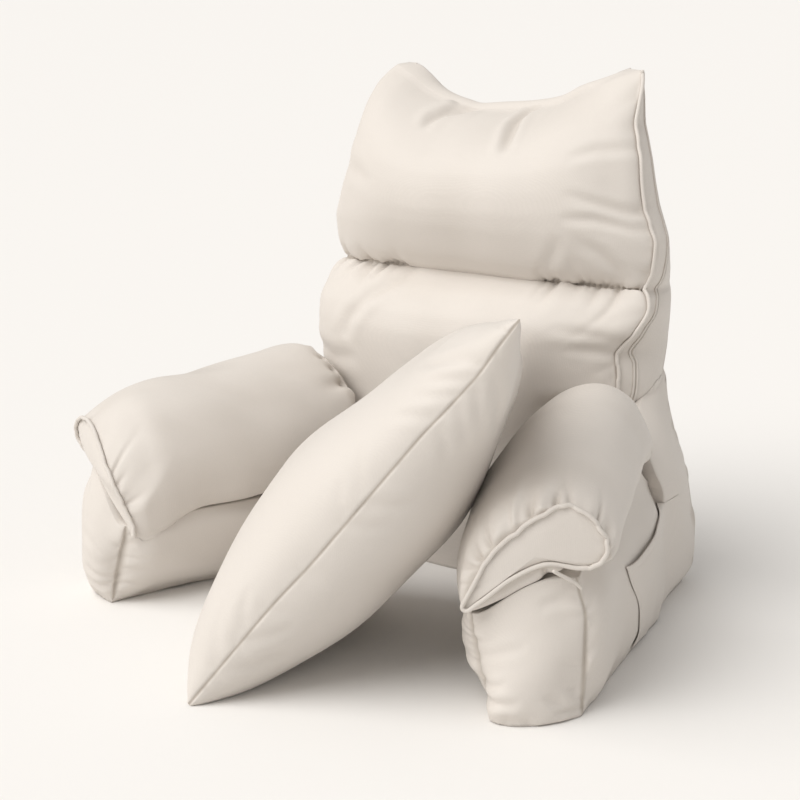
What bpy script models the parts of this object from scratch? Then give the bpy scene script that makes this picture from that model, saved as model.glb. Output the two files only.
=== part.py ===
"""Back support pillow with two splayed arms and a loose cushion, all filled cloth."""
import bpy
import bmesh
import numpy as np
from mathutils import Vector
from mathutils.bvhtree import BVHTree

# Driving sizes, in metres. x is to the sitter's left, y to the rear, z up.
TOP = 0.705                 # height of the two top corners
CHANNEL = 0.424             # height of the sewn channel across the back
TOP_DIP = 0.063             # how far the top edge sags between the corners
WAIST = 0.345               # top of the wedge
WEDGE_HALF = 0.288          # half width of the wedge at its rear
WEDGE_FLARE = 0.030         # how much wider each side of the wedge is where the arms begin
WEDGE_TAPER = 0.030         # how much narrower each side of the wedge is at the waist
ARM_END = 0.384             # rear end of the arm blocks
ROLL_END = 0.352            # rear end of the arm rolls
WELT = 0.0028               # radius of the welts
WELT_GAP = 0.0008           # between a welt and the cloth that it is sewn to
TOUCH = 0.0005              # between filled pieces that rest on each other
CUSHION_EDGE = 0.608        # loose cushion, near edge
CUSHION_WIDTH = 0.440       # loose cushion, edge on the floor
CUSHION_HALF_THICK = 0.107  # loose cushion, half its thickness
CUSHION_SAG = 0.110         # how far its far upper corner is pressed down by the back
SEAM_HALF = 0.0012          # half thickness of the cloth at a knife edge
POCKET_THICK = 0.0022       # cloth and hem of the pocket
POCKET_SEAT = 0.0002        # from the pocket to the crest of the cloth behind it
TIE_RADIUS = 0.0020         # short tie under the right roll
PANEL_CELLS = 20            # cells across the front panel
CLOTH = (0.80, 0.76, 0.70, 1.0)
CLOTH_SHADE = (0.76, 0.72, 0.66, 1.0)

# Front panel of the back: height, left and right edge, edge y, crown
PANEL = (
    (0.000, -0.158, 0.158, 0.394, 0.006),
    (0.060, -0.161, 0.161, 0.396, 0.018),
    (0.130, -0.172, 0.170, 0.398, 0.030),
    (0.195, -0.212, 0.190, 0.402, 0.042),
    (0.245, -0.240, 0.222, 0.406, 0.052),
    (0.295, -0.260, 0.234, 0.410, 0.060),
    (0.339, -0.268, 0.229, 0.414, 0.064),
    (0.367, -0.268, 0.250, 0.416, 0.058),
    (0.400, -0.262, 0.264, 0.428, 0.042),
    (0.414, -0.256, 0.259, 0.434, 0.024),
    (CHANNEL, -0.248, 0.251, 0.438, 0.008),
    (0.434, -0.251, 0.258, 0.439, 0.026),
    (0.450, -0.256, 0.264, 0.440, 0.042),
    (0.485, -0.257, 0.266, 0.441, 0.058),
    (0.535, -0.244, 0.247, 0.443, 0.072),
    (0.590, -0.232, 0.236, 0.450, 0.070),
    (0.640, -0.226, 0.217, 0.468, 0.056),
    (0.680, -0.221, 0.212, 0.490, 0.034),
    (TOP, -0.203, 0.203, 0.505, 0.004),
)
# Gusset and rear of the back: height, rear y, side puff, rear crown
GUSSET = (
    (0.000, 0.470, 0.000, 0.000),
    (0.190, 0.472, 0.003, 0.000),
    (0.250, 0.474, 0.012, 0.000),
    (0.295, 0.480, 0.018, 0.000),
    (0.339, 0.492, 0.028, 0.000),
    (0.375, 0.516, 0.020, 0.010),
    (CHANNEL, 0.532, 0.022, 0.030),
    (0.480, 0.526, 0.018, 0.044),
    (0.560, 0.530, 0.013, 0.046),
    (0.640, 0.540, 0.009, 0.032),
    (0.680, 0.542, 0.005, 0.016),
    (TOP, 0.526, 0.002, 0.004),
)
# Wedge: height, rear y at its sides, rear y in its middle, front y and inner x of the parts beside the back
WEDGE_ROWS = (
    (0.000, 0.546, 0.600, ARM_END + TOUCH, 0.185),
    (0.065, 0.545, 0.601, ARM_END + TOUCH, 0.188),
    (0.130, 0.523, 0.594, ARM_END + TOUCH, 0.202),
    (0.190, 0.499, 0.582, ARM_END + TOUCH, 0.230),
    (0.230, 0.484, 0.570, 0.396, 0.252),
    (0.265, 0.478, 0.558, 0.430, 0.268),
    (0.300, 0.482, 0.546, 0.486, 0.272),
    (WAIST, 0.500, 0.526, 0.497, 0.272),
)
# Section of an arm roll, inner tip first: share of its width, share of its height
ROLL_SECTION = (
    (0.050, 0.000),
    (0.000, 0.230),
    (0.060, 0.520),
    (0.230, 0.800),
    (0.440, 0.960),
    (0.660, 1.000),
    (0.860, 0.900),
    (0.990, 0.680),
    (0.975, 0.520),
    (0.860, 0.440),
    (0.600, 0.350),
    (0.300, 0.120),
)
# Arm roll from front to rear: share of its length, tip height, top height, overhang in, overhang out
ROLL_ROWS = (
    (0.00, 0.118, 0.256, 0.026, 0.030),
    (0.06, 0.114, 0.272, 0.042, 0.038),
    (0.20, 0.114, 0.290, 0.052, 0.038),
    (0.50, 0.124, 0.318, 0.054, 0.032),
    (0.80, 0.132, 0.330, 0.040, 0.026),
    (0.94, 0.138, 0.318, 0.020, 0.018),
    (1.00, 0.150, 0.296, 0.004, 0.006),
)
# Heights of the back's rows of cells, closest at the channel
PANEL_HEIGHTS = (
    0.0, 0.03, 0.06, 0.095, 0.13, 0.165, 0.195, 0.22, 0.245, 0.27, 0.295, 0.318, 0.339, 0.353, 0.367,
    0.384, 0.400, 0.412, 0.419, CHANNEL, 0.429, 0.437, 0.450, 0.467, 0.485, 0.510, 0.535, 0.562, 0.590,
    0.615, 0.640, 0.660, 0.680, 0.694, TOP,
)


def curve(rows, column, value):
    """Smooth curve through one column of a table, against its first column."""
    xs = np.array([row[0] for row in rows])
    ys = np.array([row[column] for row in rows])
    step = np.diff(xs)
    rise = np.diff(ys) / step
    slope = np.zeros(len(xs))
    both = rise[:-1] * rise[1:] > 0
    mean = 2 * rise[:-1] * rise[1:] / np.where(both, rise[:-1] + rise[1:], 1)
    slope[1:-1] = np.where(both, mean, 0)
    slope[0] = rise[0]
    slope[-1] = rise[-1]
    i = np.clip(np.searchsorted(xs, value) - 1, 0, len(step) - 1)
    t = (value - xs[i]) / step[i]
    start = ys[i] * (1 + 2 * t) * (1 - t) ** 2 + slope[i] * step[i] * t * (1 - t) ** 2
    end = ys[i + 1] * t * t * (3 - 2 * t) - slope[i + 1] * step[i] * t * t * (1 - t)
    return start + end


def ease(low, high, value):
    t = np.clip((value - low) / (high - low), 0, 1)
    return t * t * (3 - 2 * t)


def lerp(a, b, t):
    return a + (b - a) * t


def spread(count, power=1.0):
    """Even or edge-crowded parameters from -1 to 1."""
    t = np.linspace(-1, 1, count + 1)
    return np.sin(t * np.pi / 2) * (power - 1) + t * (2 - power) if power != 1.0 else t


def material(name, colour, roughness=0.55):
    mat = bpy.data.materials.new(name)
    mat.use_nodes = True
    shader = mat.node_tree.nodes["Principled BSDF"]
    shader.inputs["Base Color"].default_value = colour
    shader.inputs["Roughness"].default_value = roughness
    shader.inputs["Metallic"].default_value = 0.0
    return mat


def add_object(name, points, faces, colour=CLOTH):
    mesh = bpy.data.meshes.new(name)
    mesh.from_pydata([tuple(p) for p in points], [], faces)
    work = bmesh.new()
    work.from_mesh(mesh)
    bmesh.ops.remove_doubles(work, verts=work.verts, dist=0.00005)
    bmesh.ops.recalc_face_normals(work, faces=work.faces)
    work.to_mesh(mesh)
    work.free()
    mesh.shade_smooth()
    obj = bpy.data.objects.new(name, mesh)
    bpy.context.scene.collection.objects.link(obj)
    mesh.materials.append(material(name + "_cloth", colour))
    return obj


def box_skin(us, vs, ws, place):
    """Skin of a block of cells whose points place(u, v, w) puts in space."""
    sizes = (len(us), len(vs), len(ws))
    number = {}
    points = []

    def vertex(i, j, k):
        key = (i, j, k)
        if key not in number:
            number[key] = len(points)
            points.append(place(us[i], vs[j], ws[k]))
        return number[key]

    faces = []
    for axis in range(3):
        a, b = [n for n in range(3) if n != axis]
        for end in (0, sizes[axis] - 1):
            for i in range(sizes[a] - 1):
                for j in range(sizes[b] - 1):
                    ring = []
                    for di, dj in ((0, 0), (1, 0), (1, 1), (0, 1)):
                        key = [0, 0, 0]
                        key[axis] = end
                        key[a] = i + di
                        key[b] = j + dj
                        ring.append(vertex(*key))
                    faces.append(ring)
    return np.array(points), faces


def tree_of(obj):
    return BVHTree.FromObject(obj, bpy.context.evaluated_depsgraph_get())


def is_inside(tree, point):
    """True where a ray from the point leaves the closed skin an odd number of times."""
    start = Vector(point)
    heading = Vector((0.31, -0.17, 0.93)).normalized()
    hits = 0
    while hits < 12:
        spot, _, _, _ = tree.ray_cast(start, heading)
        if spot is None:
            break
        hits += 1
        start = spot + heading * 1e-5
    return hits % 2 == 1


def clear_of(points, obj, gap):
    """Push points that lie in another piece, or too near it, out to a gap from its skin."""
    tree = tree_of(obj)
    for n, point in enumerate(points):
        for _ in range(3):
            spot, normal, _, distance = tree.find_nearest(Vector(point))
            if distance >= gap and not is_inside(tree, point):
                break
            point = np.array(spot + normal * gap * 1.05)
        points[n] = point
    return points


def tube(path, radius, sides=6):
    """Points and faces of a round cord along a path, with flat ends."""
    path = np.array(path)
    points = []
    faces = []
    across = Vector((0, 0, 1))
    for n, centre in enumerate(path):
        before = path[max(n - 1, 0)]
        after = path[min(n + 1, len(path) - 1)]
        along = Vector(after - before).normalized()
        across = (across - along * across.dot(along)).normalized()
        side = along.cross(across)
        for s in range(sides):
            angle = 2 * np.pi * s / sides
            points.append(Vector(centre) + (across * np.cos(angle) + side * np.sin(angle)) * radius)
    for n in range(len(path) - 1):
        for s in range(sides):
            t = (s + 1) % sides
            faces.append([n * sides + s, n * sides + t, (n + 1) * sides + t, (n + 1) * sides + s])
    faces.append(list(range(sides)))
    faces.append(list(range((len(path) - 1) * sides, len(path) * sides)))
    return points, faces


def seat(path, obj, distance):
    """Move a path's points to stand a distance off a piece's skin."""
    tree = tree_of(obj)
    seated = []
    for point in path:
        spot = Vector(point)
        for _ in range(4):
            near, normal, _, _ = tree.find_nearest(spot)
            away = spot - near
            if away.dot(normal) < 0 or away.length < 1e-5:
                away = normal
            spot = near + away.normalized() * distance
        seated.append(np.array(spot))
    return seated


def panel_point(u, height):
    """Front panel's point: u from -1 to 1 across, height of its edge row."""
    left = curve(PANEL, 1, height)
    right = curve(PANEL, 2, height)
    x = lerp(left, right, (u + 1) / 2)
    y = curve(PANEL, 3, height)
    z = height
    if height > CHANNEL:
        share = (height - CHANNEL) / (TOP - CHANNEL)
        dip = TOP_DIP * (1 - abs(u + 0.05) ** 1.7) * (0.9 + 0.14 * np.cos(u * 9.0 - 1.6))
        z -= max(dip, 0) * share ** 1.4
    return np.array([x, y, z])


def panel_crown(u, height):
    """How far the filling pushes the front panel out."""
    return curve(PANEL, 4, height) * max(1 - abs(u) ** 2.4, 0) ** 0.62


def back_point(u, height, w):
    """Point of the back cushion: w 0 on the front panel, 1 on the rear panel."""
    edge = panel_point(u, height)
    front = edge.copy()
    front[1] -= panel_crown(u, height)
    rear = edge.copy()
    rear_y = curve(GUSSET, 1, height)
    rear[1] = rear_y + curve(GUSSET, 3, height) * (1 - abs(u) ** 2.2)
    if height > WAIST:
        rear[0] *= 1 - 0.14 * ease(WAIST, WAIST + 0.11, height)
    point = lerp(front, rear, w)
    bow = 4 * w * (1 - w)
    if abs(u) == 1:
        point[0] += u * curve(GUSSET, 2, height) * bow
    if height == TOP:
        point[2] += 0.010 * bow * (1 - u * u)
    return point


def make_back():
    ws = np.linspace(0, 1, 4)
    points, faces = box_skin(spread(PANEL_CELLS, 1.5), PANEL_HEIGHTS, ws, back_point)
    points[:, 2] = np.maximum(points[:, 2], 0)
    return add_object("back_cushion", points, faces)


def make_back_welt(name, side, back):
    """Welt down one side edge of the front panel, from the top corner to the floor."""
    outward = np.array([0.8 * side, -0.6, 0.0]) * WELT * 2
    path = [panel_point(float(side), height) + outward for height in reversed(PANEL_HEIGHTS[1:])]
    points, faces = tube(seat(path, back, WELT + WELT_GAP), WELT)
    return add_object(name, points, faces, CLOTH_SHADE)


def wedge_point(u, v, w):
    """Wedge behind and beside the lower back: v up from the floor, w to the rear."""
    height = WAIST * v
    side, middle, beside_y, beside_x = (curve(WEDGE_ROWS, column, height) for column in (1, 2, 3, 4))
    half = WEDGE_HALF + 0.004 * np.sin(np.pi * v) - WEDGE_TAPER * ease(0.45, 1.0, v)
    half += WEDGE_FLARE * (1 - w) * (1 - ease(0.5, 0.8, v))
    rear = lerp(middle, side, abs(u) ** 4)
    front = lerp(0.478, 0.502, v)
    front = lerp(front, beside_y, ease(beside_x, beside_x + 0.020, abs(u) * half))
    y = lerp(min(front, rear - 0.004), rear, w)
    x = u * half
    if abs(u) == 1:
        x += u * 0.007 * np.sin(np.pi * w) * np.sin(np.pi * v)
    return np.array([x, y, height])


def make_wedge(back):
    half_us = [0.0, 0.25, 0.5, 0.62, 0.67, 0.72, 0.77, 0.82, 0.86, 0.90, 0.94, 0.97, 1.0]
    us = [-u for u in reversed(half_us[1:])] + half_us
    vs = np.linspace(0, 1, 12)
    ws = np.linspace(0, 1, 4)
    points, faces = box_skin(us, vs, ws, wedge_point)
    points = clear_of(points, back, TOUCH * 1.8)
    points[:, 2] = np.maximum(points[:, 2], 0)
    return add_object("back_wedge", points, faces)


def arm_line(side, across, along):
    """Floor plan of an arm: across 0 at its inner edge, 1 at its outer edge."""
    inner = lerp(np.array([0.300, 0.000]), np.array([0.168, ARM_END]), along)
    outer = lerp(np.array([0.396, 0.053]), np.array([0.320, ARM_END]), along)
    plan = lerp(inner, outer, across)
    return np.array([side * plan[0], plan[1]])


def block_height(across):
    return 0.112 + 0.058 * ease(0.0, 0.9, across)


def arm_block_point(side):
    def place(u, v, w):
        across = (u + 1) / 2
        x, y = arm_line(side, across, w)
        x -= side * 0.018 * (1 - across) * v
        ends = 1 - abs(2 * w - 1) ** 6
        if u == -1:
            x -= side * 0.020 * np.sin(np.pi * (0.18 + 0.72 * v)) * (0.6 + 0.4 * ends)
        if u == 1:
            x += side * 0.018 * np.sin(np.pi * v) * (0.5 + 0.5 * ends)
        if w == 0:
            y -= 0.040 * (1 - u * u) ** 0.55 * (1 - 0.8 * v ** 3)
        z = block_height(across) * v + 0.006 * (1 - u * u) * ends * v
        z -= 0.014 * v ** 2 * (1 - ease(0.0, 0.09, w))
        return np.array([x, y, z])
    return place


def make_block(name, side, others):
    us = spread(8, 1.3)
    vs = np.linspace(0, 1, 8)
    ws = np.linspace(0, 1, 15)
    points, faces = box_skin(us, vs, ws, arm_block_point(side))
    for other in others:
        points = clear_of(points, other, TOUCH)
    points[:, 2] = np.maximum(points[:, 2], 0)
    return add_object(name, points, faces)


def closed_curve(rows, count):
    """Evenly numbered points on a smooth closed curve through a table's rows."""
    rows = np.array(rows)
    size = len(rows)
    out = []
    for n in range(count):
        place = n * size / count
        i = int(place)
        t = place - i
        a, b, c, d = (rows[(i + k) % size] for k in (-1, 0, 1, 2))
        out.append(0.5 * (2 * b + (c - a) * t + (2 * a - 5 * b + 4 * c - d) * t * t
                          + (3 * b - a - 3 * c + d) * t ** 3))
    return np.array(out)


def roll_ring(side, along, section):
    """One section of an arm roll, across its arm at a share of its length."""
    tip, top, inward, outward = (curve(ROLL_ROWS, column, along) for column in (1, 2, 3, 4))
    length = (ROLL_END + 0.012) / (ARM_END + 0.012)
    inner = arm_line(1, 0.0, along * length - 0.03 * (1 - along))
    outer = arm_line(1, 1.0, along * length - 0.03 * (1 - along))
    out = np.append(outer - inner, 0)
    width = np.linalg.norm(out)
    out /= width
    ring = []
    for across, up in section:
        reach = -inward + across * (width + inward + outward)
        point = np.append(inner, 0) + out * reach
        point[2] = tip + (top - tip) * up
        point[0] *= side
        ring.append(point)
    return np.array(ring)


def settle(points, obj, faces):
    """Lower points until they rest a hair above the piece below them."""
    below = tree_of(obj)
    above = BVHTree.FromPolygons([tuple(p) for p in points], faces)
    down, up = Vector((0, 0, -1)), Vector((0, 0, 1))
    drops = []
    for tree, spots, way in ((below, points, down), (above, [v.co for v in obj.data.vertices], up)):
        for spot in spots:
            hit, _, _, distance = tree.ray_cast(Vector(spot), way)
            if hit is not None and distance > 0:
                drops.append(distance)
    points[:, 2] -= min(drops) - TOUCH
    return points


def make_roll(name, side, others, count=28):
    section = closed_curve(ROLL_SECTION, count)
    stations = (0.0, 0.02, 0.06, 0.12, 0.20, 0.30, 0.40, 0.50, 0.60, 0.70, 0.80, 0.88, 0.94, 0.98, 1.0)
    rings = [roll_ring(side, s, section) for s in stations]
    for end, order in ((0, -1), (-1, 1)):
        base = rings[end]
        centre = base.mean(axis=0)
        bulge = np.array([0.0, 0.016 * order, 0.0])
        for share in (0.72, 0.40):
            ring = centre + (base - centre) * share + bulge * (1 - share ** 2)
            rings.insert(0, ring) if end == 0 else rings.append(ring)
    points = [p for ring in rings for p in ring]
    faces = []
    for n in range(len(rings) - 1):
        for s in range(count):
            t = (s + 1) % count
            faces.append([n * count + s, n * count + t, (n + 1) * count + t, (n + 1) * count + s])
    for ring in (0, len(rings) - 1):
        centre = np.mean(points[ring * count:(ring + 1) * count], axis=0)
        centre[1] += 0.003 if ring else -0.003
        points.append(centre)
        for s in range(count):
            faces.append([ring * count + s, ring * count + (s + 1) % count, len(points) - 1])
    points = np.array(points)
    for other in others:
        points = clear_of(points, other, TOUCH)
    points = settle(points, others[-1], faces)
    return add_object(name, points, faces)


def make_roll_welt(name, side, roll, block, count=36):
    """Welt around the front end of an arm roll."""
    ring = roll_ring(side, 0.0, closed_curve(ROLL_SECTION, count))
    ring[:, 1] -= WELT
    path = seat(ring, roll, WELT + WELT_GAP)
    path = clear_of(np.array(path), block, WELT + WELT_GAP)
    points, faces = tube(path[2:], WELT)
    return add_object(name, points, faces, CLOTH_SHADE)


def outer_skin(y, z, pieces):
    """Outermost x of the right side at a place seen from outside."""
    reach = []
    for tree in pieces:
        spot, _, _, _ = tree.ray_cast(Vector((0.6, y, max(z, 0.004))), Vector((-1, 0, 0)))
        if spot is not None:
            reach.append(spot.x)
    return max(reach, default=0.0)


def make_pocket(block, wedge):
    """Patch pocket on the right arm's outer side, with a slanted opening."""
    trees = (tree_of(block), tree_of(wedge))

    def place(u, v, w):
        t = (u + 1) / 2
        front = 0.262 + 0.060 * np.sin(np.pi * min(v * 1.2, 1)) - 0.047 * v ** 2
        y = lerp(front, 0.425, t)
        top = 0.127 + 0.029 * np.sin(np.pi / 2 * min(t * 1.4, 1))
        z = lerp(0.006, top, v)
        near = [outer_skin(y + dy, z + dz, trees) for dy in (-0.007, 0, 0.007) for dz in (-0.004, 0, 0.004)]
        mouth = 0.006 * v ** 6 * np.sin(np.pi * t)
        return np.array([max(near) + POCKET_SEAT + mouth + POCKET_THICK * w, y, z])

    points, faces = box_skin(np.linspace(-1, 1, 13), np.linspace(0, 1, 9), (0.0, 1.0), place)
    return add_object("pocket_right", points, faces)


def make_tie(block, welt):
    """Short tie that joins the right roll's welt to the arm below it."""
    path = [(0.366, -0.016, 0.172), (0.374, -0.016, 0.168), (0.382, -0.008, 0.162),
            (0.389, 0.002, 0.155), (0.394, 0.012, 0.149)]
    path = np.array(seat(path, block, TIE_RADIUS + WELT_GAP))
    path = clear_of(path, welt, TIE_RADIUS + WELT_GAP)
    points, faces = tube(path, TIE_RADIUS)
    return add_object("tie_right", points, faces, CLOTH_SHADE)


def cushion_axes():
    """Near floor corner, direction up its near edge, along the floor, and its normal."""
    corner = np.array([0.013, -0.194, 0.0])
    upper = np.array([0.364, -0.046, 0.474])
    up = (upper - corner) / np.linalg.norm(upper - corner)
    along = np.array([-0.390, 0.921, 0.0])
    along /= np.linalg.norm(along)
    return corner, up, along, np.cross(up, along)


def make_cushion(others, count_up=20, count_along=16):
    corner, up, along, normal = cushion_axes()

    def place(u, v, w):
        fill = (max(1 - u ** 4, 0) * max(1 - v ** 4, 0)) ** 0.5
        crown = (max(1 - u * u, 0) * max(1 - v * v, 0)) ** 0.42
        draw_u = (0.030 if u > 0 else 0.004) * (1 - v * v) * u
        draw_v = 0.024 * (1 - u * u) * v
        a = CUSHION_EDGE / 2 * (1 + u) - draw_u
        a -= CUSHION_SAG * ((1 + u) / 2) ** 1.5 * ((1 + v) / 2) ** 1.3
        b = CUSHION_WIDTH / 2 * (1 + v) - draw_v
        thick = SEAM_HALF + CUSHION_HALF_THICK * (0.25 * fill + 0.75 * crown)
        return corner + up * a + along * b + normal * thick * w

    points, faces = box_skin(spread(count_up, 1.5), spread(count_along, 1.5), (-1.0, 1.0), place)
    points[:, 2] = np.maximum(points[:, 2], 0)
    for _ in range(2):
        for other in others:
            points = clear_of(points, other, TOUCH)
    points[:, 2] = np.maximum(points[:, 2], 0)
    return add_object("loose_cushion", points, faces)


def centre_on_origin():
    """Stand the whole on z = 0 with the middle of its box over the origin."""
    meshes = [obj.data for obj in bpy.data.objects if obj.type == "MESH"]
    corners = np.array([vertex.co for mesh in meshes for vertex in mesh.vertices])
    low, high = corners.min(axis=0), corners.max(axis=0)
    shift = Vector((-(low[0] + high[0]) / 2, -(low[1] + high[1]) / 2, -low[2]))
    for mesh in meshes:
        for vertex in mesh.vertices:
            vertex.co += shift


def main():
    for obj in list(bpy.data.objects):
        bpy.data.objects.remove(obj, do_unlink=True)
    back = make_back()
    make_back_welt("back_welt_left", -1, back)
    make_back_welt("back_welt_right", 1, back)
    wedge = make_wedge(back)
    arms = []
    for name, side in (("left", -1), ("right", 1)):
        block = make_block("arm_block_" + name, side, (back, wedge))
        roll = make_roll("arm_roll_" + name, side, (back, wedge, block))
        welt = make_roll_welt("roll_welt_" + name, side, roll, block)
        arms += [block, roll]
    make_pocket(block, wedge)
    make_tie(block, welt)
    make_cushion([back] + arms)
    centre_on_origin()


main()
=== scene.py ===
"""Looks of the back support pillow: filled ivory cloth with welts, a sewn channel and a loose cushion."""
import math

import bmesh
import bpy
import numpy as np
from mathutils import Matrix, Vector
from mathutils.bvhtree import BVHTree


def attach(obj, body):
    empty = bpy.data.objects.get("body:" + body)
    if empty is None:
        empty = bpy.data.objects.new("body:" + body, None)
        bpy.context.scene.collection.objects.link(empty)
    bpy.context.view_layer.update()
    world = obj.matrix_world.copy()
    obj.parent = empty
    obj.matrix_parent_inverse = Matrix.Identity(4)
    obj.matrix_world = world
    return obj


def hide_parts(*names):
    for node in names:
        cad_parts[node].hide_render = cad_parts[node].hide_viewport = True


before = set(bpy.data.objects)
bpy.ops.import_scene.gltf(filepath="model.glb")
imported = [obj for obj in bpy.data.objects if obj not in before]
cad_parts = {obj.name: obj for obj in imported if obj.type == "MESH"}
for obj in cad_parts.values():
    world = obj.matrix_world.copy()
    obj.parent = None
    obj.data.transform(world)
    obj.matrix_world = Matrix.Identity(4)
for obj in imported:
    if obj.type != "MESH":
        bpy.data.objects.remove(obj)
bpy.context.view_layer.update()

# Driving sizes, in metres, as in the part's source. x is to the sitter's left, y to the rear, z up.
ORIGIN_SHIFT = np.array([0.0, -0.20332, 0.0])  # from the frame of these sizes to the row frame
TOP = 0.705  # height of the two top corners
CHANNEL = 0.424  # height of the sewn channel across the back
WAIST = 0.345  # top of the wedge
WEDGE_HALF = 0.288  # half width of the wedge at its rear
WEDGE_FLARE = 0.030  # how much wider each side of the wedge is where the arms begin
WEDGE_TAPER = 0.030  # how much narrower each side of the wedge is at the waist
ARM_END = 0.384  # rear end of the arm blocks
ROLL_END = 0.352  # rear end of the arm rolls
# Sizes of the panels, over which their folds are laid out
BACK_HALF = 0.25
WEDGE_ACROSS = 0.29
BLOCK_ACROSS = 0.052  # half the width of a block's front
BLOCK_TALL = 0.15
BLOCK_LONG = 0.39
ROLL_LONG = 0.35
ROLL_GIRTH = 0.50
ROLL_LID = 0.07  # from the middle of a roll's end to its edge
WELT = 0.0027  # radius of the welts
WELT_GAP = 0.0002  # between a welt and the cloth that it is sewn to
TOUCH = 0.0006  # between filled pieces that rest on each other
CUSHION_EDGE = 0.608  # loose cushion, near edge
CUSHION_WIDTH = 0.440  # loose cushion, edge on the floor
CUSHION_HALF_THICK = 0.107  # loose cushion, half its thickness
CUSHION_SAG = 0.110  # how far its far upper corner is pressed down by the back
CUSHION_FOOT = (0.013, -0.194, 0.0)  # its near corner on the floor
CUSHION_TIP = (0.364, -0.046, 0.474)  # its near corner at the top
CUSHION_HEADING = (-0.390, 0.921, 0.0)  # the way its edge on the floor runs
SEAM_HALF = 0.0005  # half thickness of the cloth at a knife edge
POCKET_THICK = 0.0016  # cloth and hem of the pocket
TIE_RADIUS = 0.0022  # short tie under the right roll

# Front panel of the back: height, left and right edge, edge y, crown
PANEL = (
    (0.0, -0.158, 0.158, 0.394, 0.006),
    (0.06, -0.161, 0.161, 0.396, 0.018),
    (0.13, -0.172, 0.17, 0.398, 0.03),
    (0.195, -0.212, 0.19, 0.402, 0.042),
    (0.245, -0.24, 0.222, 0.406, 0.052),
    (0.295, -0.26, 0.234, 0.41, 0.06),
    (0.339, -0.268, 0.229, 0.414, 0.064),
    (0.367, -0.268, 0.25, 0.416, 0.058),
    (0.4, -0.262, 0.264, 0.428, 0.042),
    (0.414, -0.256, 0.259, 0.434, 0.024),
    (CHANNEL, -0.248, 0.251, 0.438, 0.008),
    (0.434, -0.251, 0.258, 0.439, 0.026),
    (0.45, -0.256, 0.264, 0.44, 0.042),
    (0.485, -0.257, 0.266, 0.441, 0.058),
    (0.51, -0.25, 0.257, 0.442, 0.0665),
    (0.535, -0.242, 0.247, 0.443, 0.0708),
    (0.562, -0.234, 0.241, 0.4455, 0.072),
    (0.59, -0.229, 0.236, 0.45, 0.0705),
    (0.615, -0.227, 0.227, 0.4578, 0.0668),
    (0.64, -0.225, 0.217, 0.468, 0.059),
    (0.66, -0.2235, 0.2145, 0.479, 0.051),
    (0.68, -0.221, 0.212, 0.49, 0.037),
    (0.695, -0.213, 0.208, 0.499, 0.021),
    (TOP, -0.203, 0.203, 0.505, 0.004),
)
# Gusset and rear of the back: height, rear y, side puff, rear crown, half width at the rear
GUSSET = (
    (0.0, 0.47, 0.0, 0.0, 0.158),
    (0.19, 0.472, 0.003, 0.0, 0.19),
    (0.25, 0.474, 0.01, 0.0, 0.24),
    (0.295, 0.48, 0.012, 0.0, 0.262),
    (0.339, 0.492, 0.012, 0.0, 0.262),
    (0.375, 0.512, 0.01, 0.01, 0.256),
    (CHANNEL, 0.532, 0.014, 0.03, 0.242),
    (0.48, 0.526, 0.016, 0.044, 0.232),
    (0.56, 0.53, 0.013, 0.046, 0.21),
    (0.64, 0.54, 0.009, 0.032, 0.188),
    (0.68, 0.542, 0.005, 0.016, 0.182),
    (TOP, 0.526, 0.002, 0.004, 0.175),
)
# Wedge: height, rear y at its sides, rear y in its middle, front y and inner x of the parts beside the back
WEDGE_ROWS = (
    (0.0, 0.546, 0.6, ARM_END + TOUCH, 0.185),
    (0.065, 0.545, 0.601, ARM_END + TOUCH, 0.188),
    (0.13, 0.523, 0.594, ARM_END + TOUCH, 0.202),
    (0.17, 0.508, 0.588, 0.382, 0.212),
    (0.2, 0.496, 0.58, 0.374, 0.22),
    (0.23, 0.488, 0.57, 0.382, 0.226),
    (0.265, 0.486, 0.558, 0.418, 0.23),
    (0.3, 0.492, 0.546, 0.464, 0.232),
    (WAIST, 0.505, 0.526, 0.5, 0.232),
)
# Section of an arm roll, inner tip first: share of its width, share of its height
ROLL_SECTION = (
    (0.05, 0.0), (0.0, 0.23), (0.06, 0.52), (0.23, 0.8), (0.44, 0.96), (0.66, 1.0),
    (0.86, 0.9), (0.99, 0.68), (0.975, 0.52), (0.86, 0.44), (0.6, 0.35), (0.3, 0.12),
)
# Arm roll from front to rear: share of its length, tip height, top height, overhang in, overhang out
ROLL_ROWS = (
    (0.0, 0.126, 0.25, 0.03, 0.026),
    (0.06, 0.118, 0.266, 0.038, 0.03),
    (0.2, 0.116, 0.286, 0.054, 0.026),
    (0.5, 0.124, 0.314, 0.064, 0.014),
    (0.8, 0.13, 0.326, 0.05, 0.0),
    (0.94, 0.136, 0.314, 0.026, -0.006),
    (1.0, 0.15, 0.29, 0.006, -0.01),
)
# The same for the left roll, which is pressed flatter
LEFT_ROLL_ROWS = (
    (0.0, 0.114, 0.266, 0.026, 0.028),
    (0.06, 0.117, 0.276, 0.03, 0.03),
    (0.2, 0.121, 0.279, 0.038, 0.028),
    (0.5, 0.129, 0.288, 0.052, 0.02),
    (0.8, 0.136, 0.3, 0.054, 0.012),
    (0.94, 0.142, 0.306, 0.046, 0.006),
    (1.0, 0.152, 0.3, 0.03, 0.0),
)
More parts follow.
